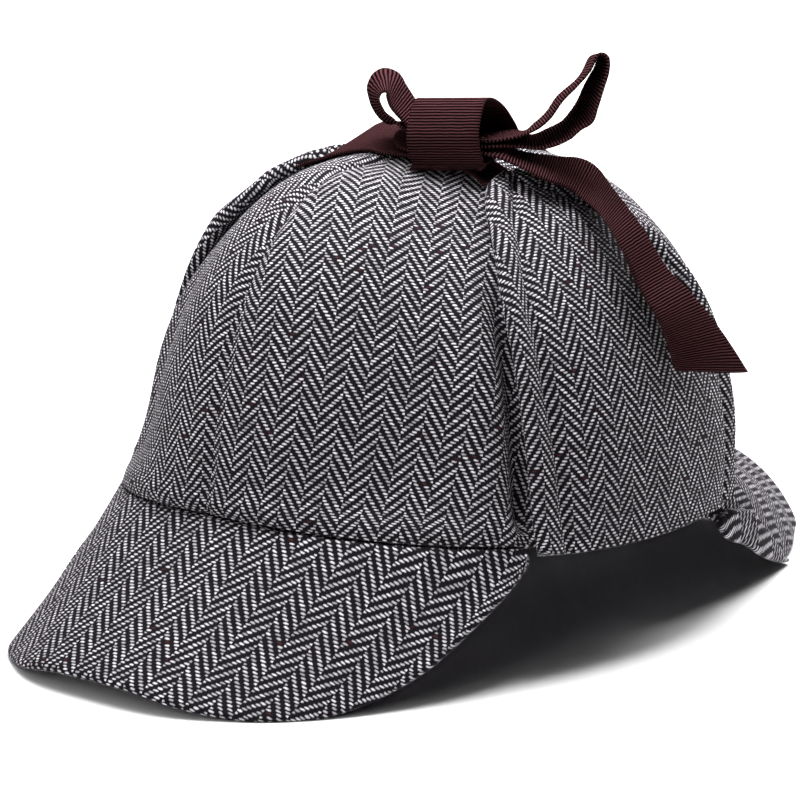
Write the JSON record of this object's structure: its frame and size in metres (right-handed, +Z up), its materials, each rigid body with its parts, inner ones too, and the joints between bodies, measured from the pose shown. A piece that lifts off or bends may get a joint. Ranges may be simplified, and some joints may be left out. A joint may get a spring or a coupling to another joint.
{
  "type": "deerstalker hat",
  "caption": "Deerstalker hat of herringbone cloth: sewn crown, arched peaks front and back, ear flaps folded up and tied on top with a ribbed ribbon bow.",
  "frame": {"origin": "on the surface that the hat rests on, under the middle of its bounding box", "axes": "+Z up, -Y the hat's front, +X the wearer's left"},
  "size_m": [0.1859, 0.311, 0.1839],
  "materials": {
    "herringbone_cloth": "black and white wool herringbone twill, matt",
    "ribbed_ribbon": "dark brown grosgrain ribbon, soft sheen on its ribs"
  },
  "bodies": {
    "root": {"crown_front_left": "herringbone_cloth", "crown_front_right": "herringbone_cloth", "crown_rear_left": "herringbone_cloth", "crown_rear_right": "herringbone_cloth", "front_peak": "herringbone_cloth", "rear_peak": "herringbone_cloth", "ear_flap_left": "herringbone_cloth", "ear_flap_right": "herringbone_cloth", "ribbon_lead_left": "ribbed_ribbon", "ribbon_lead_right": "ribbed_ribbon", "ribbon_knot": "ribbed_ribbon", "ribbon_loop_left": "ribbed_ribbon", "ribbon_loop_right": "ribbed_ribbon", "ribbon_tail_left": "ribbed_ribbon", "ribbon_tail_right": "ribbed_ribbon"}
  },
  "joints": []
}
